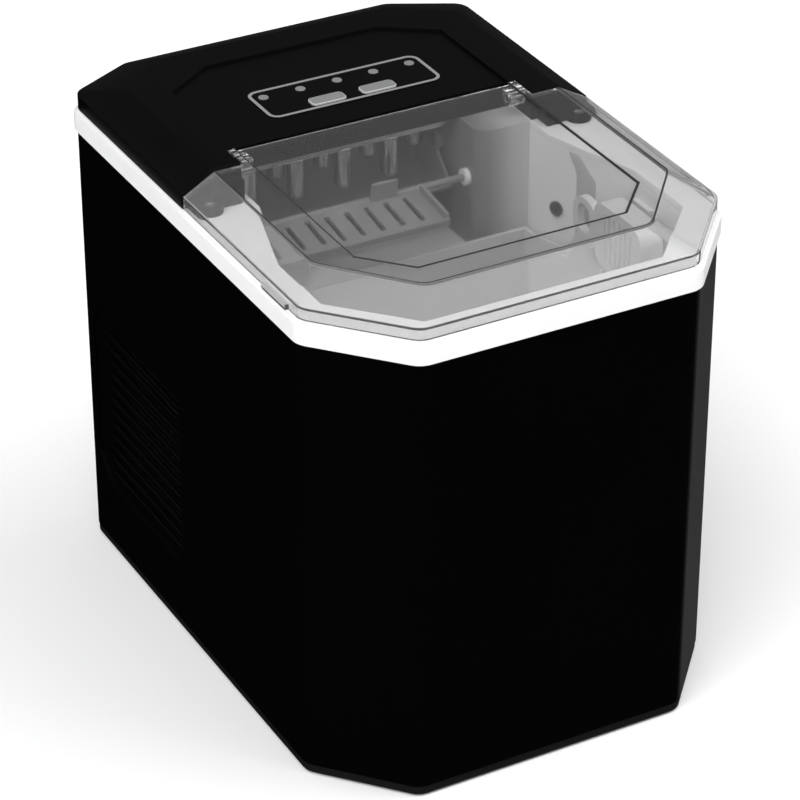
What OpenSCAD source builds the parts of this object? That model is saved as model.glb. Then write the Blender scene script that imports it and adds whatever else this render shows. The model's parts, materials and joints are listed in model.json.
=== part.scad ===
// Countertop ice maker: an octagonal black housing with a white top collar, a black rear
// cover that carries the controls, and a hinged clear lid over the ice basket.
// Origin at the bottom centre, front towards -Y, +Z up, millimetres.

/* [Housing] */
// Width across the white collar
rim_w = 240; // [236:1:250]
// Depth across the white collar
rim_d = 330; // [326:1:344]
// Height of the housing's top edge
housing_top = 254.5; // [252:0.5:264]
// Height of the white collar
rim_h = 12; // [10:0.5:14]
// Housing wall thickness
wall = 2; // [1.6:0.1:2.4]
// Height of the rubber feet below the base pan
foot_h = 1.5; // [1:0.5:4]

/* [Lid and cover] */
// Height of the lid and the cover above the collar
crown_h = 17.5; // [17:0.5:20]
// Thickness of the clear lid
lid_t = 2; // [1.6:0.1:2.4]
// Distance of the lid's hinge axis behind the middle of the housing
hinge_y = 21; // [20.5:0.5:21.5]

/* [Controls] */
// Number of indicator lamps
lamps = 5; // [3:1:5]
// Spacing of the indicator lamps
lamp_pitch = 21.6; // [19:0.1:21.8]
// Travel of each button
button_travel = 0.8; // [0.4:0.1:0.8]

/* [Ice making] */
// Fingers in the rear row of the evaporator, one more than in the front row
fingers = 5; // [3:1:5]
// Radius of one freezing finger
finger_r = 4.6; // [4:0.1:4.8]
// Slots in the ice shovel
shovel_slots = 8; // [5:1:8]

/* [Hidden] */
$fn = 48;
BLACK = "#0b0b0c";
DARK = "#202124";
WHITE = "#eeeeec";
PALE = "#dcdedf";
CLEAR = [0.6, 0.63, 0.65, 0.45];
GREY = "#a9acaf";
STEEL = "#b9bcbf";
COPPER = "#b4683a";
GREEN = "#1f5a38";
FOAM = "#d9d3c4";
RUBBER = "#1a1a1a";

// Collar outline and heights
half_w = rim_w / 2;
half_d = rim_d / 2;
front_cut = [42, 47];
rear_cut = [40, 21];
deck_z = housing_top + rim_h;
deck_t = 4;
skirt_z = deck_z + 8;
crown_z = deck_z + crown_h;
panel_z = crown_z - 1.5;
base_z = foot_h;
housing_z = base_z + 5;
housing_in = 1.5;

// Lid and cover plan
cover_in = 2.2;
crease_x = half_w - 20;
panel_x = half_w - 41;
cheek_x = 84.5;
cheek_y = 10.6;
front_wall_y = hinge_y + 8;
flap_rear = hinge_y + 6.5;
roof_z = crown_z - 3.8;
hinge_z = crown_z - 7;
hinge_pin_r = 2;

// Tank
tank_front = -half_d + 19;
tank_wide = half_w - 19;
tank_narrow = 84;
tank_rear = 84;
deep_rear = 10;
tank_floor = 74;
shallow_floor = 196;

// Tray, fingers and shovel
tray_y = 52;
tray_z = deck_z - 20.5;
tray_r = 26;
tray_t = 2;
tray_x0 = -80;
tray_x1 = 50;
finger_pitch = 27.5;
finger_x0 = -69;
finger_top = deck_z - 4;
finger_bottom = tray_z - 6;
row_front = 36;
row_rear = 60;
shovel_y = 22.5;
shovel_z = tray_z - 10;
shovel_tilt = 8;
shovel_x0 = -81;
shovel_x1 = 24;
shovel_len = 34;
motor_x = 53;

// Basket and scoop
basket_gap = 5;
basket_z0 = 92;
basket_low = 208;
basket_top = 238;
scoop_x0 = 79;
scoop_y0 = -106;
scoop_y1 = -62;
scoop_z0 = 222;
scoop_w = 34;
scoop_d = 13;

// Machine space
comp_x = 42;
comp_y = 98;
comp_r = 46;
fan_y = 82;
fan_z = 92;
fan_r = 42;
vent_y0 = 8;
vent_y1 = 131;
vent_z0 = 44;
vent_z1 = 160;
vent_cut = 15;
drain_x = 60;
drain_y = -100;
drain_z = 38;
pump_x = -40;
pump_y = -20;
hose_x = 4;
hose_y = 30;
pipe_z = deck_z + 5;
gland_x = -45;
gland_z = 48;
window_x = 70;
window_z0 = 26;
window_z1 = 236;

// Controls
control_x = 3;
control_y = 66;
control_w = 101;
control_d = 33;
lamp_y = 74.5;
lamp_r = 2.8;
button_y = 57;
button_gap = 29.6;
button_w = 20;
button_d = 8.6;
board_z = crown_z - 10;

// ---- outline helpers ----

// Unit vector from a to b
function unit(a, b) = (b - a) / norm(b - a);

// Left-hand normal of a flat direction
function left(u) = [-u[1], u[0]];

// Crossing of the line through a along u with the line through b along v
function meet(a, u, b, v) = a + u * (cross(b - a, v) / cross(u, v));

// Convex counter-clockwise outline moved inwards by t, or outwards where t is negative
function inset(pts, t) = let (n = len(pts)) [
    for (i = [0 : n - 1])
        let (
            u = unit(pts[(i + n - 1) % n], pts[i]),
            v = unit(pts[i], pts[(i + 1) % n])
        )
        meet(pts[i] + left(u) * t, u, pts[i] + left(v) * t, v)
];

// Outline with each corner replaced by an arc of radius r in n steps
function rounded(pts, r, n = 5) = let (m = len(pts)) [
    for (i = [0 : m - 1])
        let (
            u = unit(pts[(i + m - 1) % m], pts[i]),
            v = unit(pts[i], pts[(i + 1) % m]),
            turn = atan2(cross(u, v), u * v),
            c = pts[i] - u * r * tan(turn / 2) + left(u) * r,
            start = atan2(-left(u)[1], -left(u)[0])
        )
        for (k = [0 : n]) c + r * [cos(start + turn * k / n), sin(start + turn * k / n)]
];

// Rectangle as a counter-clockwise outline
function box_outline(x0, y0, x1, y1) = [[x0, y0], [x1, y0], [x1, y1], [x0, y1]];

// Smooth route through 3D points, each inner corner turned into a curve of n steps
function route(p, n = 5, k = 0.45) = [
    p[0],
    for (i = [1 : len(p) - 2])
        let (a = p[i] + (p[i - 1] - p[i]) * k, b = p[i] + (p[i + 1] - p[i]) * k)
        for (j = [0 : n])
            let (t = j / n) a * (1 - t) * (1 - t) + p[i] * 2 * t * (1 - t) + b * t * t,
    p[len(p) - 1]
];

// Outer octagon of the collar, moved inwards by t
function rim_outline(t) = inset([
    [-half_w + front_cut[0], -half_d], [half_w - front_cut[0], -half_d],
    [half_w, -half_d + front_cut[1]], [half_w, half_d - rear_cut[1]],
    [half_w - rear_cut[0], half_d], [-half_w + rear_cut[0], half_d],
    [-half_w, half_d - rear_cut[1]], [-half_w, -half_d + front_cut[1]]
], t);

// Crease where the cover's and lid's sloping sides meet their flat tops, moved inwards by t
function crease_outline(t) = inset([
    [-63, -half_d + 24], [63, -half_d + 24], [crease_x, -half_d + 68],
    [crease_x, half_d - 49], [66, half_d - 25], [-66, half_d - 25],
    [-crease_x, half_d - 49], [-crease_x, -half_d + 68]
], t);

// Sunk panel that runs on from the cover into the lid
function panel_outline_points(t) = inset([
    [-58, -half_d + 40], [58, -half_d + 40], [panel_x + 1, -half_d + 64],
    [panel_x + 1, half_d - 64], [51, half_d - 44], [-51, half_d - 44],
    [-panel_x - 1, half_d - 64], [-panel_x - 1, -half_d + 64]
], t);

// Tank outline up to the given rear edge, moved inwards by t
function tank_outline(rear, t) = inset([
    [-66, tank_front], [66, tank_front], [tank_wide, tank_front + 38],
    [tank_wide, tank_front + 81], [tank_narrow, -8], [tank_narrow, rear],
    [-tank_narrow, rear], [-tank_narrow, -8], [-tank_wide, tank_front + 81],
    [-tank_wide, tank_front + 38]
], t);

// Octagonal outline of a side vent in Y and Z, grown by t
function vent_outline(t) = inset([
    [vent_y0 + vent_cut, vent_z0], [vent_y1 - vent_cut, vent_z0], [vent_y1, vent_z0 + vent_cut],
    [vent_y1, vent_z1 - vent_cut], [vent_y1 - vent_cut, vent_z1], [vent_y0 + vent_cut, vent_z1],
    [vent_y0, vent_z1 - vent_cut], [vent_y0, vent_z0 + vent_cut]
], -t);

// ---- shape helpers ----

// Outline extruded from z0 to z1
module prism(pts, z0, z1) {
    translate([0, 0, z0])
        linear_extrude(z1 - z0)
            polygon(pts);
}

// Outline in Y and Z extruded from x0 to x1
module side_prism(pts, x0, x1) {
    translate([x0, 0, 0])
        rotate([90, 0, 90])
            linear_extrude(x1 - x0)
                polygon(pts);
}

// Block between two corners
module block(low, high) {
    translate(low)
        cube(high - low);
}

// Cylinder along X from x0 to x1 with its axis at y, z
module x_rod(r, x0, x1, y, z) {
    translate([x0, y, z])
        rotate([0, 90, 0])
            cylinder(r = r, h = x1 - x0);
}

// Cylinder along Z
module z_rod(r, x, y, z0, z1) {
    translate([x, y, z0])
        cylinder(r = r, h = z1 - z0);
}

// Cylinder along Y
module y_rod(r, x, y0, y1, z) {
    translate([x, y1, z])
        rotate([90, 0, 0])
            cylinder(r = r, h = y1 - y0);
}

// Both mirror images of a child about the X = 0 plane
module both_sides() {
    children();
    mirror([1, 0, 0])
        children();
}

// Round tube with the given number of sides swept along a route
module swept_tube(path, r, sides = 10) {
    ref = unit([0, 0, 0], [0.37, 0.61, 0.29]);
    last = len(path) - 1;
    rings = [
        for (i = [0 : last])
            let (
                t = unit(path[max(i - 1, 0)], path[min(i + 1, last)]),
                u = cross(t, ref) / norm(cross(t, ref)),
                v = cross(t, u)
            )
            for (k = [0 : sides - 1])
                path[i] + r * (u * cos(360 * k / sides) + v * sin(360 * k / sides))
    ];
    walls = [
        for (i = [0 : last - 1], k = [0 : sides - 1])
            let (a = i * sides + k, b = i * sides + (k + 1) % sides)
            each [[a, a + sides, b + sides], [a, b + sides, b]]
    ];
    ends = [
        [for (k = [0 : sides - 1]) k],
        [for (k = [sides - 1 : -1 : 0]) last * sides + k]
    ];
    polyhedron(points = rings, faces = concat(walls, ends), convexity = 6);
}

// Pan-head screw along +Z with its head's underside at z = 0
module screw(head_r, head_h, shank_r, shank_l) {
    difference() {
        union() {
            cylinder(r = head_r, h = head_h);
            translate([0, 0, -shank_l])
                cylinder(r = shank_r, h = shank_l);
        }
        for (a = [0, 90])
            rotate([0, 0, a])
                translate([-head_r * 0.55, -0.4, head_h - 0.7])
                    cube([head_r * 1.1, 0.8, 1]);
    }
}

// ---- housing ----

case_screw_spots = [for (s = [-1, 1], z = [40, 130, 222]) [s * (window_x + 2.6), z]];

module housing_shell() {
    outer = rounded(rim_outline(housing_in), 11);
    inner = rounded(rim_outline(housing_in + wall), 9);
    color(BLACK)
        difference() {
            prism(outer, housing_z, housing_top);
            prism(inner, housing_z - 1, housing_top + 1);
            both_sides()
                side_prism(vent_outline(0), half_w - 8, half_w + 1);
            block([-window_x, half_d - 8, window_z0], [window_x, half_d + 1, window_z1]);
            x_rod(9.2, half_w - 8, half_w + 1, drain_y, drain_z);
            for (p = case_screw_spots)
                y_rod(1.35, p[0], half_d - 8, half_d + 1, p[1]);
        }
}

module rear_panel() {
    face_y = half_d - housing_in;
    color(BLACK)
        difference() {
            union() {
                block([-window_x + 0.2, face_y - wall, window_z0 + 0.2],
                      [window_x - 0.2, face_y, window_z1 - 0.2]);
                block([-window_x - 5, face_y - wall - 2, window_z0 - 5],
                      [window_x + 5, face_y - wall, window_z1 + 5]);
            }
            y_rod(7.05, gland_x, half_d - 12, half_d + 1, gland_z);
            for (p = case_screw_spots)
                y_rod(1.35, p[0], half_d - 12, half_d + 1, p[1]);
            for (i = [0 : 8])
                block([-48, half_d - 12, 126 + 9 * i], [48, half_d + 1, 130 + 9 * i]);
        }
}

module case_screws() {
    color(STEEL)
        for (p = case_screw_spots)
            translate([p[0], half_d - housing_in, p[1]])
                rotate([-90, 0, 0])
                    screw(2.3, 1.4, 1.3, 6);
}

foot_spots = [for (s = [-1, 1], t = [-1, 1]) [s * (half_w - 32), t * (half_d - 62) + 8]];
mount_spots = [for (a = [90, 210, 330]) [comp_x + 40 * cos(a), comp_y + 40 * sin(a)]];

module base_pan() {
    color(BLACK)
        difference() {
            union() {
                prism(rounded(rim_outline(housing_in + 0.5), 10), base_z, housing_z);
                prism(rounded(rim_outline(housing_in + wall + 0.3), 8), housing_z, housing_z + 8);
            }
            prism(rounded(rim_outline(housing_in + wall + 2.8), 7), base_z + 3, housing_z + 9);
            for (p = foot_spots)
                z_rod(3.1, p[0], p[1], base_z - 1, base_z + 4);
        }
}

module rubber_feet() {
    color(RUBBER)
        for (p = foot_spots) {
            z_rod(9, p[0], p[1], 0, base_z);
            z_rod(3, p[0], p[1], base_z, base_z + 3);
            z_rod(4.4, p[0], p[1], base_z + 3, base_z + 4.6);
        }
}

module rim_collar() {
    color(WHITE)
        difference() {
            union() {
                prism(rounded(rim_outline(0), 12), housing_top, deck_z - 1.5);
                prism(rounded(rim_outline(1.5), 10.5), deck_z - 1.5, deck_z);
            }
            prism(rounded(rim_outline(6), 7), housing_top - 1, deck_z - deck_t);
            prism(tank_outline(tank_rear, 0), housing_top, deck_z + 1);
            block([-80, tank_rear + 10, housing_top], [80, half_d - 18, deck_z + 1]);
        }
}

// ---- rear cover ----

lug_spots = [[-106.5, 0], [106.5, 0]];

module top_cover() {
    notch = [[-2, deck_z - 1], [front_wall_y + 2.2, deck_z - 1], [front_wall_y + 2.2, hinge_z + 4],
             [front_wall_y, crown_z - 0.6], [front_wall_y, crown_z + 1], [-2, crown_z + 1]];
    nose = [[cheek_y - 1, crown_z - 2.7], [cheek_y, crown_z - 2.7],
            [cheek_y + 1.9, crown_z + 0.2], [cheek_y - 1, crown_z + 0.2]];
    color(DARK)
        difference() {
            union() {
                difference() {
                    hull() {
                        prism(rounded(rim_outline(cover_in), 10, 4), deck_z, skirt_z);
                        prism(rounded(crease_outline(0), 8, 4), crown_z - 0.1, crown_z);
                    }
                    block([-half_w, -half_d - 1, deck_z - 1], [half_w, cheek_y, crown_z + 1]);
                    side_prism(notch, -cheek_x, cheek_x);
                    side_prism(nose, -half_w, half_w);
                    prism(panel_outline_points(0), panel_z, crown_z + 1);
                    difference() {
                        hull() {
                            prism(rounded(rim_outline(cover_in + 2.2), 8, 4), deck_z - 1, skirt_z - 1);
                            prism(rounded(crease_outline(4), 6, 4), roof_z - 0.1, roof_z);
                        }
                        block([-cheek_x - 2.5, -half_d, deck_z - 1],
                              [cheek_x + 2.5, front_wall_y + 4.6, crown_z]);
                        block([-half_w, -half_d, deck_z - 1], [half_w, cheek_y + 2.2, crown_z]);
                    }
                }
                both_sides() {
                    translate([0, cheek_y, 0])
                        rotate([90, 0, 0])
                            linear_extrude(cheek_y)
                                polygon([[88, deck_z], [113.5, deck_z], [113.5, deck_z + 4],
                                         [98, deck_z + 11.5], [88, deck_z + 12]]);
                    z_rod(7, 106.5, 0, deck_z, deck_z + 4);
                }
            }
            both_sides() {
                x_rod(hinge_pin_r + 0.02, cheek_x - 1, cheek_x + 3.5, hinge_y, hinge_z);
                z_rod(4, 106.5, 0, deck_z + 2.4, deck_z + 30);
                z_rod(1.6, 106.5, 0, deck_z - 1, deck_z + 30);
            }
            for (i = [0 : lamps - 1])
                z_rod(lamp_r + 0.3, lamp_x(i), lamp_y, board_z, crown_z + 1);
            for (s = [-1, 1])
                prism(button_outline(s, 0.4), board_z, crown_z + 1);
        }
}

module cover_screws() {
    color(STEEL)
        for (p = lug_spots)
            translate([p[0], p[1], deck_z + 2.4])
                screw(3.4, 1.8, 1.5, 2.4);
}

// ---- controls ----

// Place of lamp i across the panel
function lamp_x(i) = control_x + (i - (lamps - 1) / 2) * lamp_pitch;

// Outline of the left (s = -1) or right (s = 1) button, grown by t
function button_outline(s, t) = let (x = control_x + s * button_gap / 2) rounded(
    box_outline(x - button_w / 2 - t, button_y - button_d / 2 - t,
                x + button_w / 2 + t, button_y + button_d / 2 + t), 2.5 + t, 4);

// Rounded outline of the control panel, grown by t
function control_outline(t) = rounded(
    box_outline(control_x - control_w / 2 - t, control_y - control_d / 2 - t,
                control_x + control_w / 2 + t, control_y + control_d / 2 + t), 6 + t, 6);

module control_overlay() {
    color(BLACK)
        difference() {
            prism(control_outline(0), panel_z, panel_z + 0.4);
            for (i = [0 : lamps - 1])
                z_rod(lamp_r + 0.2, lamp_x(i), lamp_y, panel_z - 1, panel_z + 2);
            for (s = [-1, 1])
                prism(button_outline(s, 0.4), panel_z - 1, panel_z + 2);
        }
}

module panel_outline() {
    color(GREY)
        difference() {
            prism(control_outline(0), panel_z + 0.4, panel_z + 0.6);
            prism(control_outline(-1.8), panel_z, panel_z + 1);
        }
}

module indicator_lamps() {
    color(PALE)
        for (i = [0 : lamps - 1])
            z_rod(lamp_r, lamp_x(i), lamp_y, board_z + 1.6, panel_z + 0.7);
}

module control_board() {
    color(GREEN)
        block([-56, 44, board_z], [60, 86, board_z + 1.6]);
    color(DARK) {
        block([34, 46, board_z + 1.6], [50, 60, board_z + 4]);
        block([-52, 48, board_z + 1.6], [-38, 62, board_z + 4.4]);
    }
    color(WHITE)
        for (x = [-50, 54], y = [47, 83])
            z_rod(2, x, y, board_z + 1.6, roof_z);
}

module tact_switches() {
    color(DARK)
        for (s = [-1, 1]) {
            x = control_x + s * button_gap / 2;
            block([x - 3, button_y - 3, board_z + 1.6], [x + 3, button_y + 3, board_z + 3.4]);
            z_rod(1.7, x, button_y, board_z + 3.4, roof_z - 1.2 - button_travel);
        }
}

module push_button(s) {
    color(PALE)
        union() {
            prism(button_outline(s, 0), roof_z - 1, panel_z + 1.1);
            prism(button_outline(s, 1.4), roof_z - 1.1, roof_z - 0.3);
        }
}

module button_on_off() {
    push_button(-1);
}

module button_select() {
    push_button(1);
}

// ---- lid ----

module lid() {
    flap_x = cheek_x - 0.6;
    color(CLEAR)
        difference() {
            union() {
                difference() {
                    hull() {
                        prism(rounded(rim_outline(2.4), 11, 4), deck_z + 0.4, skirt_z - 0.4);
                        prism(rounded(crease_outline(0), 9, 4), crown_z - 0.1, crown_z);
                    }
                    hull() {
                        prism(rounded(rim_outline(2.4 + lid_t), 9, 4), deck_z, skirt_z - 2.6);
                        prism(rounded(crease_outline(1), 8.4, 4), panel_z - lid_t - 0.1, panel_z - lid_t);
                    }
                    prism(panel_outline_points(0), panel_z, crown_z + 1);
                    block([-half_w, flap_rear, deck_z - 1], [half_w, half_d, crown_z + 1]);
                    both_sides()
                        block([flap_x, cheek_y - 1, deck_z - 1], [half_w, half_d, crown_z + 1]);
                }
                both_sides() {
                    x_rod(4.5, 75, flap_x, hinge_y, hinge_z);
                    block([75, hinge_y - 4.5, hinge_z], [flap_x, hinge_y + 4.5, panel_z - 1]);
                }
                both_sides()
                    block([-half_w + 0.2, -106, deck_z + 0.8], [-half_w + 3.6, -81, deck_z + 3.8]);
            }
            both_sides()
                x_rod(hinge_pin_r + 0.06, 70, 90, hinge_y, hinge_z);
        }
}

module hinge_pins() {
    color(STEEL)
        both_sides()
            x_rod(hinge_pin_r, 75.5, cheek_x + 3, hinge_y, hinge_z);
}

// ---- tank ----

module tank_liner() {
    deep_in = tank_outline(deep_rear, 0);
    deep_out = tank_outline(deep_rear, -2);
    rear_in = box_outline(-tank_narrow, deep_rear - 4, tank_narrow, tank_rear);
    rear_out = box_outline(-tank_narrow - 2, deep_rear - 4, tank_narrow + 2, tank_rear + 2);
    flange_z = deck_z - deck_t - 2;
    color(WHITE)
        difference() {
            union() {
                prism(deep_out, tank_floor - 2, flange_z + 2);
                prism(rear_out, shallow_floor - 2, flange_z + 2);
                prism(tank_outline(tank_rear, -7), flange_z, flange_z + 2);
            }
            prism(deep_in, tank_floor, deck_z);
            prism(rear_in, shallow_floor, deck_z);
            z_rod(3, pump_x, pump_y, tank_floor - 5, tank_floor + 1);
            z_rod(3, drain_x, drain_y, tank_floor - 5, tank_floor + 1);
        }
    color(WHITE)
        for (x = [-60, 60], y = [-120, -20])
            block([x - 3, y - 8, tank_floor], [x + 3, y + 8, basket_z0 - 0.3]);
    color(WHITE)
        block([tank_wide - 3, tank_front + 62, 110], [tank_wide, tank_front + 78, deck_z - 14]);
}

module tank_insulation() {
    color(FOAM)
        difference() {
            prism(tank_outline(deep_rear, -8), tank_floor - 10, shallow_floor - 6);
            prism(tank_outline(deep_rear, -2.1), tank_floor - 2.1, shallow_floor);
            z_rod(4.5, pump_x, pump_y, tank_floor - 20, tank_floor + 1);
            z_rod(4.5, drain_x, drain_y, tank_floor - 20, tank_floor + 1);
        }
}

module ice_basket() {
    plan = tank_outline(deep_rear, basket_gap);
    inner = tank_outline(deep_rear, basket_gap + 2);
    front = tank_front + basket_gap;
    color(PALE) {
        difference() {
            prism(plan, basket_z0, basket_top);
            prism(inner, basket_z0 + 2, basket_top + 1);
            side_prism([[-48, basket_top + 1], [-28, basket_low], [20, basket_low],
                        [20, basket_top + 1]], -half_w, half_w);
            for (x = [-60 : 24 : 60])
                block([x - 2.5, -116, basket_z0 - 1], [x + 2.5, -16, basket_z0 + 3]);
            block([-32, front - 1, basket_top - 26], [32, front + 3, basket_top - 10]);
        }
        for (y = [scoop_y0 + 8, scoop_y1 - 8])
            block([scoop_x0 - 1, y - 1.5, scoop_z0 - 6],
                  [tank_wide - basket_gap - 1.9, y + 1.5, scoop_z0 - 0.3]);
    }
}

// Ladle on its side: its ribbed bottom faces -X and its mouth faces the tank wall
module ice_scoop() {
    z1 = scoop_z0 + scoop_w;
    handle = rounded(box_outline(scoop_y1 - 2, scoop_z0 + 5, scoop_y1 + 20, z1 - 5), 9, 6);
    grip = rounded(box_outline(scoop_y1 + 4, scoop_z0 + 9, scoop_y1 + 15.5, z1 - 9), 4.5, 5);
    bowl = rounded(box_outline(scoop_y0, scoop_z0, scoop_y1, z1), 8, 5);
    hollow = rounded(box_outline(scoop_y0 + 1.8, scoop_z0 + 1.8, scoop_y1 - 1.8, z1 - 1.8), 6.2, 5);
    color(PALE)
        difference() {
            union() {
                side_prism(bowl, scoop_x0, scoop_x0 + scoop_d);
                side_prism(handle, scoop_x0, scoop_x0 + 4.5);
            }
            side_prism(hollow, scoop_x0 + 2.6, scoop_x0 + scoop_d + 1);
            side_prism(grip, scoop_x0 - 1, scoop_x0 + scoop_d);
            for (i = [0 : 5])
                block([scoop_x0 - 1, scoop_y0 + 9 + 4.6 * i, scoop_z0 + 5],
                      [scoop_x0 + 0.9, scoop_y0 + 11 + 4.6 * i, z1 - 5]);
        }
}

// ---- tray and shovel ----

// Arc points in Y and Z about the tray's axis
function tray_arc(r, a0, a1, n = 24) = [
    for (i = [0 : n])
        let (a = a0 + (a1 - a0) * i / n) [tray_y + r * cos(a), tray_z + r * sin(a)]
];

module water_tray() {
    a0 = -135;
    a1 = 45;
    color(PALE)
        difference() {
            union() {
                side_prism(concat(tray_arc(tray_r + tray_t, a0, a1), tray_arc(tray_r, a1, a0)),
                           tray_x0, tray_x1);
                for (x = [tray_x0, tray_x1 - 2]) {
                    side_prism(tray_arc(tray_r + 0.5, a0, a1), x, x + 2);
                    x_rod(7, x, x + 2, tray_y, tray_z);
                }
                x_rod(6, tray_x0 - 1.5, tray_x0, tray_y, tray_z);
                x_rod(6, tray_x1, tray_x1 + 2.5, tray_y, tray_z);
            }
            x_rod(2.56, tray_x0 - 3, tray_x0 + 3, tray_y, tray_z);
            x_rod(3.02, tray_x1 - 3, tray_x1 + 4, tray_y, tray_z);
        }
}

module tray_shaft() {
    color(STEEL)
        x_rod(3, tray_x1 - 2.5, motor_x + 13, tray_y, tray_z);
}

module tray_pivot_pin() {
    color(STEEL)
        x_rod(2.5, -tank_narrow, tray_x0 + 2.5, tray_y, tray_z);
}

module ice_shovel() {
    pitch = 11.5;
    width = shovel_x1 - shovel_x0;
    first = (width - pitch * (shovel_slots - 1)) / 2;
    color(PALE)
        translate([0, shovel_y, shovel_z])
            rotate([shovel_tilt, 0, 0])
                difference() {
                    union() {
                        block([shovel_x0, -shovel_len, -1], [shovel_x1, 0, 1]);
                        block([shovel_x0, -shovel_len, 1], [shovel_x1, -shovel_len + 1.8, 2.6]);
                        for (x = [shovel_x0, shovel_x1 - 1.8])
                            block([x, -shovel_len + 1.8, 1], [x + 1.8, -3, 5]);
                        block([-6, -3.4, 1], [9, -1.6, 11.5]);
                        x_rod(2, -tank_narrow + 0.5, motor_x - 0.5, 0, 0);
                    }
                    for (i = [0 : shovel_slots - 1])
                        block([shovel_x0 + first + pitch * i - 1.5, -shovel_len + 7, -3],
                              [shovel_x0 + first + pitch * i + 1.5, -6, 3]);
                }
}

module shovel_bushes() {
    color(WHITE)
        difference() {
            union() {
                x_rod(4.5, -tank_narrow, -tank_narrow + 2.4, shovel_y, shovel_z);
                x_rod(4.5, motor_x - 2.6, motor_x, shovel_y, shovel_z);
            }
            x_rod(2.06, -tank_narrow + 0.2, -tank_narrow + 5, shovel_y, shovel_z);
            x_rod(2.06, motor_x - 5, motor_x - 0.2, shovel_y, shovel_z);
        }
}

// ---- freezing parts ----

module evaporator_block() {
    color(COPPER)
        block([-76.5, 33, finger_top], [45.8, 65, deck_z]);
}

module evaporator_fingers() {
    color(STEEL)
        for (row = [0, 1], i = [0 : fingers - 1 - (1 - row)]) {
            x = finger_x0 + i * finger_pitch;
            y = row == 0 ? row_front : row_rear;
            z_rod(finger_r, x, y, finger_bottom + finger_r * 0.6, finger_top);
            translate([x, y, finger_bottom])
                cylinder(r1 = finger_r * 0.55, r2 = finger_r, h = finger_r * 0.6);
        }
}

pipe_spots = [[-62, 52], [-44, 52]];

module evaporator_frame() {
    color(WHITE)
        difference() {
            block([-96, front_wall_y + 5, deck_z], [96, tank_rear + 6, deck_z + 2]);
            for (p = pipe_spots) {
                z_rod(4.2, p[0], p[1], deck_z - 1, deck_z + 3);
                block([p[0] - 4.2, p[1], deck_z - 1], [p[0] + 4.2, p[1] + 16, deck_z + 3]);
            }
        }
}

module gear_motor() {
    color(STEEL)
        difference() {
            union() {
                x_rod(22, motor_x + 11, motor_x + 24, tray_y, tray_z - 6);
                x_rod(10, motor_x + 5, motor_x + 11, tray_y, tray_z);
            }
            x_rod(3.06, motor_x - 1, motor_x + 14, tray_y, tray_z);
        }
    color(WHITE)
        block([motor_x + 11, tray_y - 8, shallow_floor + 2],
              [motor_x + 22, tray_y + 8, tray_z - 28.05]);
}

// Outline of the gear motor's housing with one round corner, moved inwards by t
function motor_outline(t) = concat(
    [[tank_narrow - 0.1 - t, deep_rear + 1 + t], [tank_narrow - 0.1 - t, tank_rear - t],
     [motor_x + t, tank_rear - t]],
    [for (a = [180 : 15 : 270])
        [motor_x + 8 + (8 - t) * cos(a), deep_rear + 9 + (8 - t) * sin(a)]]);

module motor_housing() {
    color(PALE)
        difference() {
            prism(motor_outline(0), shallow_floor, deck_z - 0.2);
            prism(motor_outline(2), shallow_floor + 2, deck_z - 2.2);
            x_rod(4, motor_x - 1, motor_x + 3, tray_y, tray_z);
        }
}

// Flange and lens on the sloping stretch of the tank's right wall
module sensor_on_wall(along, z) {
    a = [tank_wide, tank_front + 81];
    b = [tank_narrow, -8];
    p = a + (b - a) * along;
    n = left(unit(a, b));
    translate([p[0], p[1], z])
        rotate([0, 0, atan2(n[1], n[0])])
            rotate([0, 90, 0]) {
                cylinder(r = 4.2, h = 1.6);
                translate([0, 0, 1.6])
                    cylinder(r = 2.2, h = 1.2);
            }
}

module ice_sensors() {
    color(DARK) {
        sensor_on_wall(0.88, 226);
        sensor_on_wall(0.3, 220);
    }
}

module water_probe() {
    color(STEEL)
        for (x = [-8, 8])
            z_rod(1.5, x, 3, tank_floor, tank_floor + 12);
}

// ---- refrigeration ----

module compressor() {
    color(BLACK)
        translate([comp_x, comp_y, 0]) {
            rotate_extrude()
                polygon([[0, 20], [comp_r - 10, 20], [comp_r - 1, 27], [comp_r - 1, 76],
                         [comp_r, 76], [comp_r, 80], [comp_r - 1, 80], [comp_r - 1, 118],
                         [comp_r - 6, 130], [comp_r - 18, 137], [0, 140]]);
        }
    color(DARK)
        block([comp_x - 12, comp_y - comp_r - 12, 70], [comp_x + 12, comp_y - comp_r + 2.5, 96]);
    color(BLACK)
        for (p = mount_spots)
            z_rod(9, p[0], p[1], 17, 20);
}

module compressor_mounts() {
    color(RUBBER)
        for (p = mount_spots)
            z_rod(7, p[0], p[1], base_z + 3, 17);
}

module condenser() {
    color(STEEL) {
        for (i = [0 : 11])
            block([-108, 30 + 9 * i, 34], [-90, 31.2 + 9 * i, 150]);
        for (z = [34, 148])
            block([-108, 31.2, z], [-90, 129, z + 2]);
    }
    color(COPPER)
        for (i = [0 : 4])
            y_rod(3, -99, 26, 134, 48 + 22 * i);
}

module fan_shroud() {
    color(DARK)
        difference() {
            block([-88, fan_y - 50, fan_z - 54], [-72, fan_y + 50, fan_z + 54]);
            x_rod(fan_r + 3, -89, -71, fan_y, fan_z);
            block([-86, fan_y - 60, fan_z - 50], [-74, fan_y - 47, fan_z + 50]);
        }
    color(DARK)
        difference() {
            union() {
                block([-72, fan_y - 50, fan_z - 4], [-68, fan_y + 50, fan_z + 4]);
                x_rod(15, -72, -68, fan_y, fan_z);
            }
            x_rod(3.4, -73, -67, fan_y, fan_z);
        }
}

module fan_motor() {
    color(STEEL)
        difference() {
            x_rod(14, -68, -48, fan_y, fan_z);
            x_rod(2.06, -69, -60, fan_y, fan_z);
        }
}

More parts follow.
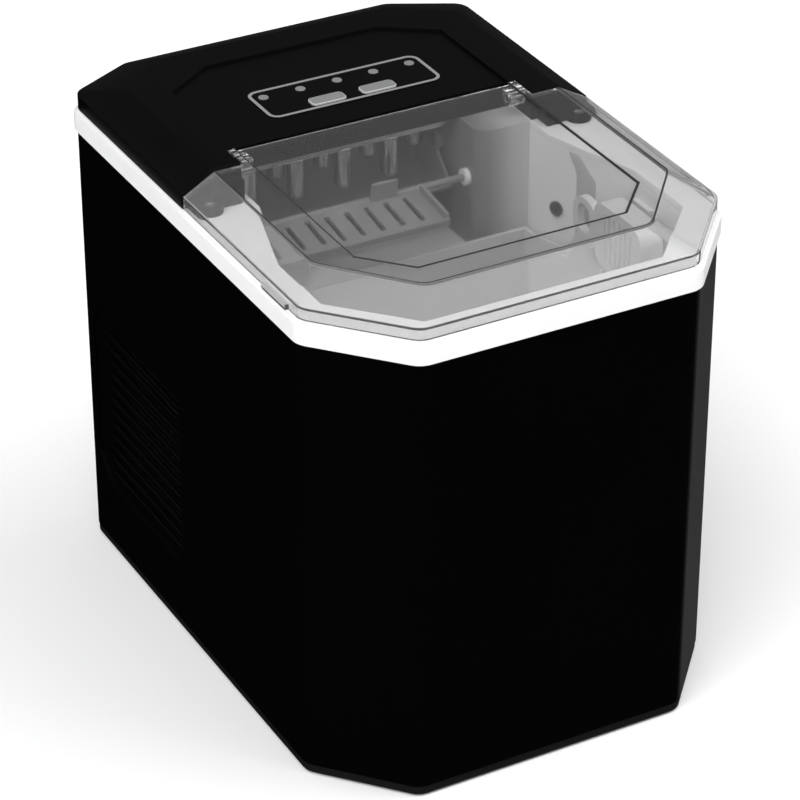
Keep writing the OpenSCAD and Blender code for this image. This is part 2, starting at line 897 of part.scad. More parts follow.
module cooling_fan() {
    color(DARK) {
        x_rod(11, -86, -75, fan_y, fan_z);
        x_rod(2, -75, -60.5, fan_y, fan_z);
        for (a = [0 : 60 : 300])
            translate([-80.5, fan_y, fan_z])
                rotate([a, 0, 0])
                    translate([0, 0, 9])
                        rotate([0, 0, 28])
                            translate([-0.9, -8.5, 0])
                                cube([1.8, 17, fan_r - 11]);
    }
}

module copper_pipes() {
    color(COPPER) {
        swept_tube(route([[-62, 52, deck_z], [-62, 52, pipe_z], [-62, 128, pipe_z],
                          [-62, 128, 170], [10, 128, 170], [20, 118, 170], [20, 118, 138]]), 2.2);
        swept_tube(route([[-44, 52, deck_z], [-44, 52, pipe_z], [-44, 116, pipe_z],
                          [-44, 116, 172], [-60, 110, 172], [-60, 110, 159.6]]), 2.2);
        swept_tube(route([[60, 118, 137.8], [60, 118, 162], [-20, 142, 162], [-80, 142, 162],
                          [-99, 142, 162], [-99, 137.5, 136]]), 2.2);
    }
}

module filter_drier() {
    color(COPPER)
        translate([-60, 110, 0])
            rotate_extrude()
                polygon([[0, 108], [2.4, 108], [8, 114], [8, 150], [2.4, 156], [2.4, 159.5],
                         [0, 159.5]]);
}

module gas_valve() {
    color(DARK)
        block([-32, 136, 172], [-10, 150, 194]);
    color(STEEL)
        z_rod(7, -21, 143, 194, 206);
}

// ---- water circuit ----

module water_pump() {
    color(DARK)
        difference() {
            union() {
                z_rod(17, pump_x, pump_y, 18, 40);
                z_rod(12, pump_x, pump_y, base_z + 3, 18);
                z_rod(4, pump_x, pump_y, 40, 63.9);
                translate([pump_x + 13, pump_y, 32])
                    rotate([0, 90, 0])
                        cylinder(r = 4, h = 12);
            }
            z_rod(14, pump_x, pump_y, 24, 38);
            z_rod(1.56, pump_x, pump_y, 20, 25);
            z_rod(2.8, pump_x, pump_y, 37, 65);
            translate([pump_x + 12, pump_y, 32])
                rotate([0, 90, 0])
                    cylinder(r = 2.5, h = 15);
        }
}

module pump_impeller() {
    color(WHITE) {
        z_rod(1.5, pump_x, pump_y, 20.5, 25);
        z_rod(12, pump_x, pump_y, 25, 27);
        z_rod(4, pump_x, pump_y, 27, 35);
        for (a = [0 : 60 : 300])
            translate([pump_x, pump_y, 27])
                rotate([0, 0, a])
                    translate([3, -0.8, 0])
                        cube([9, 1.6, 7]);
    }
}

module pump_hose() {
    color(GREY)
        swept_tube(route([[pump_x + 25, pump_y, 32], [hose_x, pump_y, 32], [hose_x, hose_y, 32],
                          [hose_x, hose_y, shallow_floor - 2]]), 3.5);
}

module drain_socket() {
    color(BLACK)
        difference() {
            union() {
                x_rod(9, half_w - 26, half_w - housing_in - 1.6, drain_y, drain_z);
                x_rod(12, half_w - housing_in - wall - 2, half_w - housing_in - wall, drain_y, drain_z);
            }
            x_rod(6, half_w - 22, half_w + 1, drain_y, drain_z);
            x_rod(3, half_w - 30, half_w - 20, drain_y, drain_z);
        }
}

module drain_plug() {
    face = half_w - housing_in;
    color(RUBBER)
        union() {
            x_rod(5.94, half_w - 20, face - 1.2, drain_y, drain_z);
            x_rod(8.5, face - 1.3, half_w - 0.7, drain_y, drain_z);
            block([half_w - 0.8, drain_y - 1.2, drain_z - 7], [half_w, drain_y + 1.2, drain_z + 7]);
        }
}

module plug_seal() {
    color("#8c3b2e")
        difference() {
            x_rod(5.5, half_w - 21.4, half_w - 20, drain_y, drain_z);
            x_rod(2.5, half_w - 22, half_w - 19, drain_y, drain_z);
        }
}

module drain_hose() {
    color(GREY)
        swept_tube(route([[drain_x, drain_y, tank_floor - 2], [drain_x, drain_y, drain_z],
                          [half_w - 26, drain_y, drain_z]]), 3.2);
}

// ---- side vents and power inlet ----

module vent_grille(side) {
    x_out = half_w - housing_in - 0.9;
    x_mid = half_w - housing_in - wall;
    color(BLACK)
        mirror([side < 0 ? 1 : 0, 0, 0])
            difference() {
                union() {
                    side_prism(vent_outline(-0.2), x_mid, x_out);
                    side_prism(vent_outline(4), x_mid - 1.6, x_mid);
                }
                for (z = [vent_z0 + 10 : 8 : vent_z1 - 12])
                    block([x_mid - 3, vent_y0 + 18, z], [x_out + 1, vent_y1 - 18, z + 4.2]);
            }
}

module vent_grille_left() {
    vent_grille(-1);
}

module vent_grille_right() {
    vent_grille(1);
}

module cord_gland() {
    face_y = half_d - housing_in;
    color(RUBBER)
        difference() {
            union() {
                y_rod(7, gland_x, face_y - 12, face_y, gland_z);
                y_rod(9, gland_x, face_y - wall - 4, face_y - wall - 2, gland_z);
                y_rod(9, gland_x, face_y, face_y + 1.4, gland_z);
            }
            y_rod(3.6, gland_x, face_y - 13, face_y + 3, gland_z);
        }
}

module power_board() {
    color(GREEN)
        block([-100, 146, 176], [-36, 147.6, 232]);
    color(DARK) {
        block([-94, 132, 196], [-74, 146, 216]);
        block([-64, 136, 184], [-44, 146, 200]);
    }
    color(WHITE)
        for (x = [-70, -40], z = [180, 228])
            y_rod(2, x, 147.6, half_d - housing_in - wall - 2, z);
}

// ---- assembly ----

housing_shell();
rear_panel();
base_pan();
rubber_feet();
rim_collar();
top_cover();
control_overlay();
panel_outline();
indicator_lamps();
control_board();
tact_switches();
button_on_off();
button_select();
lid();
hinge_pins();
cover_screws();
case_screws();
tank_liner();
tank_insulation();
ice_basket();
ice_scoop();
water_tray();
tray_shaft();
tray_pivot_pin();
ice_shovel();
shovel_bushes();
evaporator_block();
evaporator_fingers();
evaporator_frame();
gear_motor();
motor_housing();
ice_sensors();
water_probe();
compressor();
compressor_mounts();
condenser();
fan_shroud();
fan_motor();
cooling_fan();
copper_pipes();
filter_drier();
gas_valve();
water_pump();
pump_impeller();
pump_hose();
vent_grille_left();
vent_grille_right();
cord_gland();
power_board();
drain_socket();
drain_plug();
plug_seal();
drain_hose();
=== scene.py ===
import json
import math
import bpy
import bmesh
from mathutils import Matrix, Vector

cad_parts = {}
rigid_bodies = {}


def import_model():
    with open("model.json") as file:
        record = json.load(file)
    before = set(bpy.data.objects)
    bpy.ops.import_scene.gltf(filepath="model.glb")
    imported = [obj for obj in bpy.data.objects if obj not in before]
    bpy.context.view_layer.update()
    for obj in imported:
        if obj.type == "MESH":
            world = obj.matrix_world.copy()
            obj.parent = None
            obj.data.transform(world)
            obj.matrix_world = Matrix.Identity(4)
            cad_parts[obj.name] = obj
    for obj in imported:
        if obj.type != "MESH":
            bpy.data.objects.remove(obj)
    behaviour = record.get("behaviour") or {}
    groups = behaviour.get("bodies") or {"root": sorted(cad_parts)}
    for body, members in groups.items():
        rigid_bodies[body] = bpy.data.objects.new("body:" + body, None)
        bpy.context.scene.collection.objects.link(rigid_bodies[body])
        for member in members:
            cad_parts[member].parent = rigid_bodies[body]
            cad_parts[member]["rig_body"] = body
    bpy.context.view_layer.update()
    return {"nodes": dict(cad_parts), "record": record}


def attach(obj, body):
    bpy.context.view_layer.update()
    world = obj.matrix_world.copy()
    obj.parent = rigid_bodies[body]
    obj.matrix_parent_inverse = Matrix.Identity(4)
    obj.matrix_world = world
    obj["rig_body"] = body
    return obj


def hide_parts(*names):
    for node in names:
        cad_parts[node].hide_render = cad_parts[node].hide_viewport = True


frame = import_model()
scene = bpy.context.scene
scene.view_settings.view_transform = "Standard"
MM = 0.001

# Where the camera stands: degrees round and up from the front, then metres from the origin,
# and its lens and sensor in millimetres
CAMERA_AZIMUTH = -28.56
CAMERA_ELEVATION = 31.16
CAMERA_DISTANCE = 1.910
CAMERA_RIGHT = 0.0002
CAMERA_UP = 0.1085
CAMERA_LENS = 155.9
CAMERA_SENSOR = 36.0

# Level directions for the studio's dark back wall and its strip light on the right
BACK_WALL = (0.478, 0.878, 0.0)
SIDE_STRIP = (0.82, 0.57, 0.0)
STUDIO_STRENGTH = 0.95

# How far the mesh corners that count as one point may be apart, and how flat a joined face is
MERGE_DISTANCE = 0.002 * MM
FLAT_ANGLE = 0.4

# The rounding of each piece's edges in millimetres
EDGE_WIDTHS = {
    "housing_shell": 0.5,
    "rim_collar": 0.6,
    "control_overlay": 0.1,
    "indicator_lamps": 0.4,
    "cover_screws": 0.2,
    "case_screws": 0.2,
    "tank_liner": 0.8,
    "ice_basket": 0.5,
    "ice_scoop": 0.5,
    "water_tray": 0.4,
    "ice_shovel": 0.4,
    "evaporator_block": 0.6,
    "evaporator_frame": 0.5,
    "ice_sensors": 0.3,
    "rear_panel": 0.4,
    "vent_grille_left": 0.3,
    "vent_grille_right": 0.3,
    "drain_plug": 0.4,
    "cord_gland": 0.4,
    "base_pan": 0.4,
    "rubber_feet": 0.5,
}
COVER_EDGE = 0.5
BUTTON_EDGE = 0.7
MOTOR_BOX_EDGE = 1.0
LID_EDGE = 0.6

# The relief of a moulded or cast surface, and of the slow waves in clear plastic
GRAIN_HEIGHT = 0.4 * MM
RIPPLE_HEIGHT = 1.0 * MM
COAT_ROUGHNESS = 0.05
CLEAR_PLASTIC_IOR = 1.47

# Half the width between the cover's two front ears
EAR_INNER_X = 88.0 * MM

# Depths below the lid's top of its moulded edges and of the edge where its skirt begins
LID_RIM_DEPTH = 1.7 * MM
SKIRT_EDGE_DEPTHS = (8.6 * MM, 10.6 * MM)

# The dark lines in the lid's edges are painted shade, dark bars standing for what the thick
# moulded
# edges show: they are thickest round the front of the recess and along the front of the crease,
# which lie within these bounds
THICK_LINE_X = 88.0 * MM
THICK_LINE_Y = 8.0 * MM
THICK_LINE_RADIUS = 0.85 * MM
THIN_LINE_RADIUS = 0.5 * MM
LINE_COVER = 0.12 * MM
LINE_ANGLE = 14.0

# The sides of the lid's rear flap lie behind this y
FLAP_SIDE_Y = 9.0 * MM

# Distances that count as near, and as the same
NEAR = 0.1 * MM
SAME = 0.01 * MM


# ---- camera ----

def add_camera():
    azimuth = math.radians(CAMERA_AZIMUTH)
    elevation = math.radians(CAMERA_ELEVATION)
    back = Vector((
        math.sin(azimuth) * math.cos(elevation),
        -math.cos(azimuth) * math.cos(elevation),
        math.sin(elevation),
    ))
    right = Vector((math.cos(azimuth), math.sin(azimuth), 0.0))
    up = back.cross(right)
    turn = Matrix((right, up, back)).transposed().to_4x4()
    data = bpy.data.cameras.new("camera")
    data.sensor_width = CAMERA_SENSOR
    data.lens = CAMERA_LENS
    data.clip_end = 50.0
    camera = bpy.data.objects.new("camera", data)
    place = back * CAMERA_DISTANCE + right * CAMERA_RIGHT + up * CAMERA_UP
    camera.matrix_world = Matrix.Translation(place) @ turn
    scene.collection.objects.link(camera)
    scene.camera = camera


# ---- light and floor ----

def add_light(name, place, target, size, power):
    """A square soft box that lights the object and isn't mirrored in its glossy faces."""
    data = bpy.data.lights.new(name, "AREA")
    data.shape = "RECTANGLE"
    data.size = size
    data.size_y = size
    data.energy = power
    light = bpy.data.objects.new(name, data)
    light.location = place
    aim = Vector(target) - Vector(place)
    light.rotation_euler = aim.to_track_quat("-Z", "Y").to_euler()
    light.visible_glossy = False
    scene.collection.objects.link(light)


def add_lights():
    add_light("key", (-1.7, -1.1, 2.5), (0.0, 0.0, 0.1), 2.2, 62.0)
    add_light("fill", (1.9, -0.9, 2.3), (0.2, 0.2, 0.0), 2.6, 46.0)


def height_glow(tree, direction):
    """Dark below the horizon, grey just above it and white overhead."""
    split = tree.nodes.new("ShaderNodeSeparateXYZ")
    tree.links.new(direction, split.inputs[0])
    lift = tree.nodes.new("ShaderNodeMapRange")
    lift.inputs["From Min"].default_value = -1.0
    lift.inputs["From Max"].default_value = 1.0
    tree.links.new(split.outputs["Z"], lift.inputs["Value"])
    ramp = tree.nodes.new("ShaderNodeValToRGB")
    ramp.color_ramp.elements[0].position = 0.46
    ramp.color_ramp.elements[0].color = (0.008, 0.008, 0.008, 1)
    ramp.color_ramp.elements[1].position = 0.95
    ramp.color_ramp.elements[1].color = (1.0, 1.0, 1.0, 1)
    middle = ramp.color_ramp.elements.new(0.56)
    middle.color = (0.33, 0.33, 0.34, 1)
    tree.links.new(lift.outputs["Result"], ramp.inputs["Fac"])
    return ramp.outputs["Color"]


def wall_band(tree, direction, facing, start, end, low, high):
    """A soft step from low to high as the direction turns to face one wall of the studio."""
    toward = tree.nodes.new("ShaderNodeVectorMath")
    toward.operation = "DOT_PRODUCT"
    toward.inputs[1].default_value = facing
    tree.links.new(direction, toward.inputs[0])
    band = tree.nodes.new("ShaderNodeMapRange")
    band.interpolation_type = "SMOOTHSTEP"
    band.inputs["From Min"].default_value = start
    band.inputs["From Max"].default_value = end
    band.inputs["To Min"].default_value = low
    band.inputs["To Max"].default_value = high
    tree.links.new(toward.outputs["Value"], band.inputs["Value"])
    return band.outputs["Result"]


def add_world():
    """A pale studio with a dark back wall and a faint strip of light on the right."""
    world = bpy.data.worlds.new("studio")
    scene.world = world
    world.use_nodes = True
    tree = world.node_tree
    direction = tree.nodes.new("ShaderNodeTexCoord").outputs["Generated"]
    shade = tree.nodes.new("ShaderNodeVectorMath")
    shade.operation = "SCALE"
    tree.links.new(height_glow(tree, direction), shade.inputs[0])
    back = wall_band(tree, direction, BACK_WALL, 0.25, 0.75, 1.0, 0.07)
    tree.links.new(back, shade.inputs["Scale"])
    total = tree.nodes.new("ShaderNodeVectorMath")
    total.operation = "ADD"
    tree.links.new(shade.outputs["Vector"], total.inputs[0])
    strip = wall_band(tree, direction, SIDE_STRIP, 0.5, 0.84, 0.0, 0.09)
    tree.links.new(strip, total.inputs[1])
    background = tree.nodes["Background"]
    tree.links.new(total.outputs["Vector"], background.inputs["Color"])
    background.inputs["Strength"].default_value = STUDIO_STRENGTH


def add_floor():
    work = bmesh.new()
    bmesh.ops.create_grid(work, x_segments=4, y_segments=4, size=12.0)
    mesh = bpy.data.meshes.new("floor")
    work.to_mesh(mesh)
    work.free()
    floor = bpy.data.objects.new("floor", mesh)
    surface("floor_white", (0.96, 0.96, 0.96), 0.7, specular=0.2, mottle=0.004,
            mottle_scale=3.0, grain_depth=0.0)
    mesh.materials.append(MATERIALS["floor_white"])
    scene.collection.objects.link(floor)
    floor.visible_glossy = False


# ---- how a material is made ----

MATERIALS = {}


def new_material(name):
    material = bpy.data.materials.new(name)
    material.use_nodes = True
    MATERIALS[name] = material
    return material.node_tree.nodes, material.node_tree.links


def noise(nodes, links, spot, scale, detail):
    """A noise pattern that keeps its place on the piece."""
    pattern = nodes.new("ShaderNodeTexNoise")
    pattern.inputs["Scale"].default_value = scale
    pattern.inputs["Detail"].default_value = detail
    links.new(spot, pattern.inputs["Vector"])
    return pattern.outputs["Fac"]


def uneven_gloss(nodes, links, shader, pattern, low, high):
    gloss = nodes.new("ShaderNodeMapRange")
    gloss.inputs["To Min"].default_value = low
    gloss.inputs["To Max"].default_value = high
    links.new(pattern, gloss.inputs["Value"])
    links.new(gloss.outputs["Result"], shader.inputs["Roughness"])


def bumps(nodes, links, shader, pattern, strength, depth):
    bump = nodes.new("ShaderNodeBump")
    bump.inputs["Strength"].default_value = strength
    bump.inputs["Distance"].default_value = depth
    links.new(pattern, bump.inputs["Height"])
    links.new(bump.outputs["Normal"], shader.inputs["Normal"])


def surface(name, colour, rough, metallic=0.0, specular=0.5, grain=900.0, grain_depth=0.02,
            mottle=0.06, mottle_scale=14.0, rough_spread=0.06, coat=0.0, stretch=None,
            subsurface=0.0):
    """Plastic, rubber, foam or metal with slight colour drift, uneven gloss and fine grain."""
    nodes, links = new_material(name)
    shader = nodes["Principled BSDF"]
    shader.inputs["Metallic"].default_value = metallic
    shader.inputs["Specular IOR Level"].default_value = specular
    shader.inputs["Coat Weight"].default_value = coat
    shader.inputs["Coat Roughness"].default_value = COAT_ROUGHNESS
    shader.inputs["Subsurface Weight"].default_value = subsurface
    if subsurface:
        shader.inputs["Subsurface Radius"].default_value = (0.004, 0.004, 0.004)
    spot = nodes.new("ShaderNodeTexCoord").outputs["Object"]
    grain_spot = spot
    if stretch:
        mapping = nodes.new("ShaderNodeMapping")
        mapping.inputs["Scale"].default_value = stretch
        links.new(spot, mapping.inputs["Vector"])
        grain_spot = mapping.outputs["Vector"]
    broad = noise(nodes, links, spot, mottle_scale, 4.0)
    fine = noise(nodes, links, grain_spot, grain, 3.0)
    tint = nodes.new("ShaderNodeMix")
    tint.data_type = "RGBA"
    dark = [c * (1.0 - mottle) for c in colour]
    light = [min(1.0, c * (1.0 + mottle)) for c in colour]
    tint.inputs["A"].default_value = (*dark, 1.0)
    tint.inputs["B"].default_value = (*light, 1.0)
    links.new(broad, tint.inputs["Factor"])
    links.new(tint.outputs["Result"], shader.inputs["Base Color"])
    glossiest = max(0.02, rough - rough_spread)
    dullest = min(1.0, rough + rough_spread)
    uneven_gloss(nodes, links, shader, broad, glossiest, dullest)
    bumps(nodes, links, shader, fine, grain_depth, GRAIN_HEIGHT)


def painted_shade_fade_surface(name, dark, light):
    """Satin grey plastic with painted shade: darker at the piece's left end and growing lighter
    to its right end.
    """
    surface(name, (light, light, light), 0.4, grain_depth=0.05)
    nodes = MATERIALS[name].node_tree.nodes
    links = MATERIALS[name].node_tree.links
    split = nodes.new("ShaderNodeSeparateXYZ")
    links.new(nodes.new("ShaderNodeTexCoord").outputs["Generated"], split.inputs[0])
    fade = nodes.new("ShaderNodeMapRange")
    fade.interpolation_type = "SMOOTHSTEP"
    fade.inputs["To Min"].default_value = dark / light
    fade.inputs["To Max"].default_value = 1.0
    links.new(split.outputs["X"], fade.inputs["Value"])
    colour = nodes["Principled BSDF"].inputs["Base Color"]
    scaled = nodes.new("ShaderNodeVectorMath")
    scaled.operation = "SCALE"
    links.new(colour.links[0].from_socket, scaled.inputs[0])
    links.new(fade.outputs["Result"], scaled.inputs["Scale"])
    links.new(scaled.outputs["Vector"], colour)


def clear_plastic(name, tint, shade, haze=0.0):
    """Moulded clear plastic: bends and tints what is behind it, and lets lamp light through."""
    nodes, links = new_material(name)
    shader = nodes["Principled BSDF"]
    shader.inputs["Base Color"].default_value = (*tint, 1.0)
    shader.inputs["Transmission Weight"].default_value = 1.0 - haze
    shader.inputs["IOR"].default_value = CLEAR_PLASTIC_IOR
    spot = nodes.new("ShaderNodeTexCoord").outputs["Object"]
    ripple = noise(nodes, links, spot, 22.0, 2.0)
    uneven_gloss(nodes, links, shader, ripple, 0.025, 0.045)
    bumps(nodes, links, shader, ripple, 0.03, RIPPLE_HEIGHT)
    through = nodes.new("ShaderNodeBsdfTransparent")
    through.inputs["Color"].default_value = (*shade, 1.0)
    path = nodes.new("ShaderNodeLightPath")
    mix = nodes.new("ShaderNodeMixShader")
    links.new(path.outputs["Is Shadow Ray"], mix.inputs["Fac"])
    links.new(shader.outputs["BSDF"], mix.inputs[1])
    links.new(through.outputs["BSDF"], mix.inputs[2])
    links.new(mix.outputs["Shader"], nodes["Material Output"].inputs["Surface"])


# ---- the materials ----

def make_case_materials():
    """Housing, cover, collar, feet and seals."""
    surface("black_gloss", (0.001, 0.001, 0.001), 0.22, specular=0.22, grain=400.0,
            grain_depth=0.01, mottle=0.15, rough_spread=0.04)
    surface("black_plastic", (0.008, 0.008, 0.0085), 0.45, specular=0.3, grain_depth=0.08)
    surface("cover_black", (0.001, 0.001, 0.0011), 0.42, specular=0.11, grain=160.0,
            grain_depth=0.012, mottle=0.12)
    # Painted light: a lighter copy of the cover's black for its front wall, lit by the white
    # tank under the lid's flap
    surface("cover_front_painted_light", (0.003, 0.003, 0.0031), 0.5, specular=0.1, grain=120.0,
            grain_depth=0.01, mottle=0.1)
    surface("white_plastic", (0.86, 0.86, 0.855), 0.32, specular=0.45, grain=1200.0,
            grain_depth=0.03, mottle=0.012)
    surface("rubber", (0.012, 0.012, 0.012), 0.75, specular=0.25, grain_depth=0.15)
    surface("seal_red", (0.28, 0.04, 0.02), 0.6, grain_depth=0.1)


def make_panel_materials():
    """Control film, its printed border, the lamps, the buttons and the boards behind them."""
    surface("overlay_black", (0.001, 0.001, 0.0011), 0.3, specular=0.11, grain_depth=0.01)
    surface("print_grey", (0.23, 0.23, 0.233), 0.5, grain_depth=0.05)
    surface("lamp_lens", (0.2, 0.205, 0.21), 0.3, coat=0.6, grain_depth=0.04, mottle=0.2,
            mottle_scale=600.0)
    surface("button_grey", (0.2, 0.202, 0.205), 0.38, grain_depth=0.06)
    surface("button_rim", (0.5, 0.502, 0.505), 0.3, grain_depth=0.03)
    surface("circuit_board", (0.02, 0.1, 0.045), 0.4, mottle=0.3, mottle_scale=160.0)


def make_tank_materials():
    """Basket, tray, motor box and wall channel with painted shade, sensors and the foam round
    the tank.
    """
    surface("basket_grey", (0.66, 0.66, 0.66), 0.4, grain_depth=0.05, mottle=0.02)
    surface("tray_grey", (0.24, 0.24, 0.242), 0.38, grain_depth=0.05, mottle=0.03)
    # Painted shade: the motor box's grey darkens towards its left end, where less light reaches
    painted_shade_fade_surface("box_grey_painted_shade", 0.2, 0.66)
    # Painted shade: the grey of the channel on the tank's right wall
    surface("wall_shade", (0.5, 0.5, 0.5), 0.45, grain_depth=0.04)
    surface("sensor_dark", (0.03, 0.03, 0.033), 0.12, coat=0.5)
    surface("foam", (0.72, 0.68, 0.56), 0.9, specular=0.2, grain=500.0, grain_depth=0.6,
            mottle=0.15)


def make_metal_materials():
    """Pins, screws, freezing fingers, pipes and the machinery."""
    surface("steel", (0.55, 0.55, 0.56), 0.3, metallic=1.0, grain=120.0, grain_depth=0.08,
            stretch=(1.0, 1.0, 12.0))
    surface("screw_steel", (0.62, 0.62, 0.63), 0.22, metallic=1.0, grain_depth=0.05)
    surface("nickel", (0.6, 0.6, 0.61), 0.18, metallic=1.0, mottle=0.1, mottle_scale=90.0,
            grain=300.0, grain_depth=0.05)
    surface("black_enamel", (0.006, 0.006, 0.006), 0.3, coat=0.4, grain=160.0,
            grain_depth=0.12)
    surface("fin_aluminium", (0.66, 0.67, 0.69), 0.35, metallic=1.0, grain=200.0,
            grain_depth=0.1)
    surface("copper", (0.62, 0.27, 0.13), 0.3, metallic=1.0, mottle=0.25, mottle_scale=60.0,
            grain_depth=0.06)
    surface("brass", (0.62, 0.46, 0.18), 0.28, metallic=1.0, mottle=0.15)


def make_clear_materials():
    """The lid's flat top, sloping sides, painted highlight along the skirt edge and painted dark
    lines along the moulded edges; the hoses.
    """
    clear_plastic("clear_smoke", (0.74, 0.74, 0.745), (0.68, 0.68, 0.68), haze=0.02)
    clear_plastic("smoke_skirt", (0.76, 0.76, 0.765), (0.66, 0.66, 0.66), haze=0.12)
    # Painted highlight: a hazy whitish copy of the lid's plastic where the skirt begins, for the
    # bright line of light along it
    clear_plastic("smoke_painted_highlight", (0.85, 0.85, 0.855), (0.7, 0.7, 0.7), haze=0.4)
    # Painted shade: nearly black plastic on the bevels of the crease and recess, for the dark
    # lines of the thick edges
    clear_plastic("smoke_edge_painted_shade", (0.05, 0.05, 0.051), (0.3, 0.3, 0.3))
    surface("edge_shade", (0.03, 0.03, 0.031), 0.5, specular=0.1)
    surface("hose_clear", (0.6, 0.62, 0.62), 0.3, subsurface=0.3)


def make_materials():
    make_case_materials()
    make_panel_materials()
    make_tank_materials()
    make_metal_materials()
    make_clear_materials()


def node_slot(node):
    for part in frame["record"]["subparts"]:
        if part["node"] == node:
            return part["material_slot"]
    return None


def paint_carried_nodes():
    for name, piece in frame["nodes"].items():
        for held in piece.material_slots:
            held.material = MATERIALS[node_slot(name)]


# ---- mesh helpers ----

def add_piece(name, mesh, body, material_names):
    piece = bpy.data.objects.new(name, mesh)
    scene.collection.objects.link(piece)
    for kind in material_names:
        mesh.materials.append(MATERIALS[kind])
    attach(piece, body)
    return piece


def merged_shape(node):
    """The node's own mesh, with split corners joined and flat areas made into single faces."""
    work = bmesh.new()
    work.from_mesh(frame["nodes"][node].data)
    bmesh.ops.remove_doubles(work, verts=work.verts, dist=MERGE_DISTANCE)
    bmesh.ops.dissolve_limit(work, angle_limit=math.radians(FLAT_ANGLE), verts=work.verts,
                             edges=work.edges, use_dissolve_boundaries=False)
    return work


def shade_by_angle(mesh, angle):
    """Smooth shading, except across edges that turn by more than the angle in degrees."""
    limit = math.radians(angle)
    work = bmesh.new()
    work.from_mesh(mesh)
    for face in work.faces:
        face.smooth = True
    for edge in work.edges:
        if len(edge.link_faces) == 2:
            edge.smooth = edge.calc_face_angle(0.0) < limit
    work.to_mesh(mesh)
    work.free()


def finished_mesh(work, name, angle):
    mesh = bpy.data.meshes.new(name)
    work.to_mesh(mesh)
    work.free()
    shade_by_angle(mesh, angle)
    return mesh


def refined(node, width, angle=30.0, paint=None, materials=None):
    """The node's own shape with merged faces and rounded edges, standing for the node."""
    work = merged_shape(node)
    limit = math.radians(angle)
    sharp = [e for e in work.edges
             if len(e.link_faces) == 2 and e.calc_face_angle(0.0) > limit]
    bmesh.ops.bevel(work, geom=sharp, offset=width * MM, segments=2, profile=0.5,
                    affect="EDGES", clamp_overlap=True)
    if paint:
        paint(work)
    work.normal_update()
    mesh = finished_mesh(work, node + "_fine", 35.0)
    slot = node_slot(node)
    body = frame["nodes"][node]["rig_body"]
    piece = add_piece(node + "_fine", mesh, body, materials or (slot,))
    even = piece.modifiers.new("even_normals", "WEIGHTED_NORMAL")
    even.weight = 90
    even.keep_sharp = True
    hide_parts(node)


# ---- cover and buttons ----

def paint_cover(work):
    """The cover's front wall, under the lid's flap, is painted a little greyer than its top:
    painted light thrown on it by the white tank.
    """
    for face in work.faces:
        faces_front = face.normal.y < -0.6
        between_ears = abs(face.calc_center_median().x) < EAR_INNER_X
        if faces_front and between_ears:
            face.material_index = 1


def add_cover():
    refined("top_cover", COVER_EDGE, paint=paint_cover, materials=("cover_black", "cover_front_painted_light"))


def paint_button(work):
    """A light rounded rim around a grey face."""
    for face in work.faces:
        flat_top = face.normal.z >= 0.98
        if not flat_top:
            face.material_index = 1


def add_buttons():
    for button in ("button_on_off", "button_select"):
        refined(button, BUTTON_EDGE, paint=paint_button, materials=("button_grey", "button_rim"))


# ---- tank ----

def add_motor_box():
    # The motor box's material carries painted shade, dark on the left and light on the right
    refined("motor_housing", MOTOR_BOX_EDGE, materials=("box_grey_painted_shade",))


def add_wall_channel():
    """Shallow channel down the sloping stretch of the tank's right wall, its darker grey painted
    shade.
    """
    wall_front = Vector((101.0, -65.0, 0.0)) * MM
    wall_rear = Vector((84.0, -8.0, 0.0)) * MM
    along = (wall_rear - wall_front).normalized()
    out = Vector((-along.y, along.x, 0.0))
    sunk = 0.3 * MM
    thick = 0.7 * MM
    round_off = 0.2 * MM
    front, back, lip, tip = 26.0, 39.0, 37.5, 45.0
    bottom, shoulder, top = 206.0, 251.0, 262.0
    outline = (
        (front, bottom),
        (back, bottom),
        (back, shoulder),
        (tip, top),
        (lip, top),
        (front, shoulder),
    )
    work = bmesh.new()
    corners = []
    for reach, height in outline:
        spot = wall_front + along * reach * MM + Vector((0.0, 0.0, height * MM)) - out * sunk
        corners.append(work.verts.new(spot))
    face = work.faces.new(corners)
    grown = bmesh.ops.extrude_face_region(work, geom=[face])
    moved = [v for v in grown["geom"] if isinstance(v, bmesh.types.BMVert)]
    bmesh.ops.translate(work, verts=moved, vec=out * thick)
    bmesh.ops.recalc_face_normals(work, faces=work.faces)
    bmesh.ops.bevel(work, geom=list(work.edges), offset=round_off, segments=2, profile=0.5,
                    affect="EDGES", clamp_overlap=True)
    mesh = finished_mesh(work, "wall_channel", 32.0)
    body = frame["nodes"]["tank_liner"]["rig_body"]
    add_piece("wall_channel", mesh, body, ("wall_shade",))


# ---- lid ----

def paint_lid(work):
    """Greyer sloping sides, painted shade as dark lines on the crease and recess, and a painted
    highlight along the edge where the skirt begins.
    """
    skirt, rim, highlight_index = 1, 2, 3
    top = max(v.co.z for v in work.verts)
    for face in work.faces:
        depth = top - face.calc_center_median().z
        tilt = face.normal.z
        at_skirt_edge = SKIRT_EDGE_DEPTHS[0] < depth < SKIRT_EDGE_DEPTHS[1]
        if depth < LID_RIM_DEPTH and -0.2 < tilt < 0.996:
            # Painted shade: the bevels at the top's crease and recess take the dark plastic
            face.material_index = rim
        elif at_skirt_edge and 0.05 < tilt < 0.85:
            # Painted highlight along the edge where the skirt begins
            face.material_index = highlight_index
        elif 0.1 < tilt < 0.96:
            face.material_index = skirt


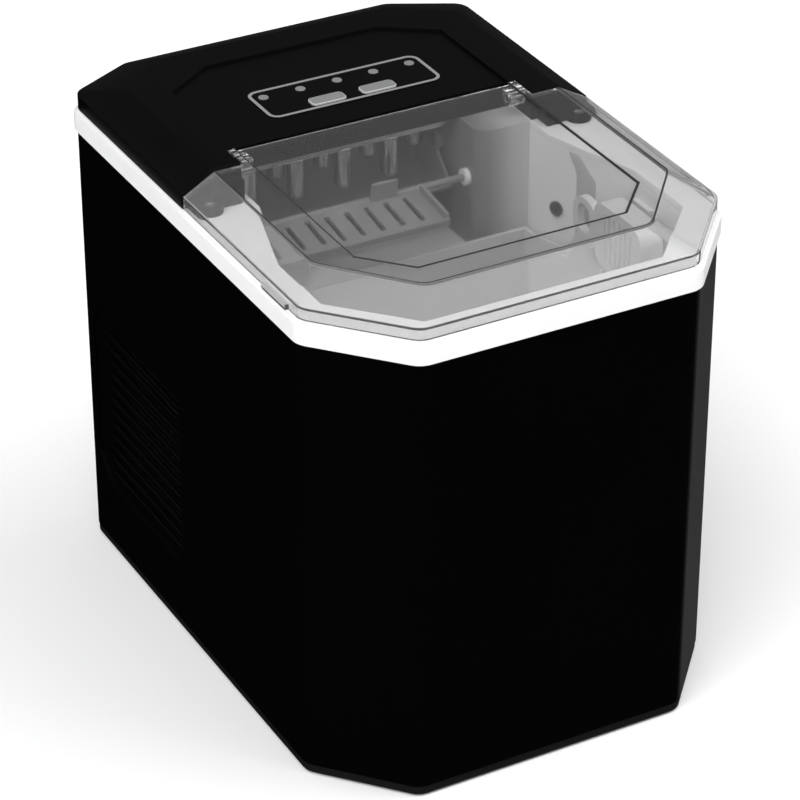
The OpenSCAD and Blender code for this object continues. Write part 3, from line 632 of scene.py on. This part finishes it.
def add_lid():
    kinds = ("clear_smoke", "smoke_skirt", "smoke_edge_painted_shade", "smoke_painted_highlight")
    refined("lid", LID_EDGE, angle=15.0, paint=paint_lid, materials=kinds)


def bar_along(work, a, b, radius):
    """Adds a round bar from a to b, a little longer than the gap so that neighbours join."""
    line = b - a
    turn = line.to_track_quat("Z", "Y").to_matrix().to_4x4()
    middle = Matrix.Translation((a + b) / 2)
    bmesh.ops.create_cone(work, cap_ends=True, segments=8, radius1=radius, radius2=radius,
                          depth=line.length + radius, matrix=middle @ turn)


def is_lid_line(edge, top, rear):
    """True for an edge of the lid's top, apart from its rear cuts and the rear flap's sides."""
    a, b = (v.co for v in edge.verts)
    if min(a.z, b.z) < top - NEAR or len(edge.link_faces) != 2:
        return False
    across = abs(a.y - b.y) < SAME
    rear_cut = across and (abs(a.y - rear) < NEAR or a.y > 0.0)
    flap_side = abs(a.x - b.x) < SAME and min(a.y, b.y) > FLAP_SIDE_Y
    turned = edge.calc_face_angle(0.0) >= math.radians(LINE_ANGLE)
    return turned and not rear_cut and not flap_side


def add_lid_edge_lines():
    """Dark bars along the crease and the recess: painted shade for the dark lines that the thick
    moulded edges show.
    """
    source = merged_shape("lid")
    top = max(v.co.z for v in source.verts)
    rear = max(v.co.y for v in source.verts)
    work = bmesh.new()
    for edge in source.edges:
        if not is_lid_line(edge, top, rear):
            continue
        a, b = (v.co for v in edge.verts)
        thick = max(abs(a.x), abs(b.x)) < THICK_LINE_X and max(a.y, b.y) < THICK_LINE_Y
        radius = THICK_LINE_RADIUS if thick else THIN_LINE_RADIUS
        drop = Vector((0.0, 0.0, -radius - LINE_COVER))
        bar_along(work, a + drop, b + drop, radius)
    source.free()
    mesh = finished_mesh(work, "lid_edge_lines", 50.0)
    body = frame["nodes"]["lid"]["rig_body"]
    add_piece("lid_edge_lines", mesh, body, ("edge_shade",))


# ---- the whole scene ----

add_camera()
add_world()
add_lights()
make_materials()
add_floor()
paint_carried_nodes()
for node, width in EDGE_WIDTHS.items():
    refined(node, width)
add_cover()
add_buttons()
add_motor_box()
add_lid()
add_lid_edge_lines()
add_wall_channel()
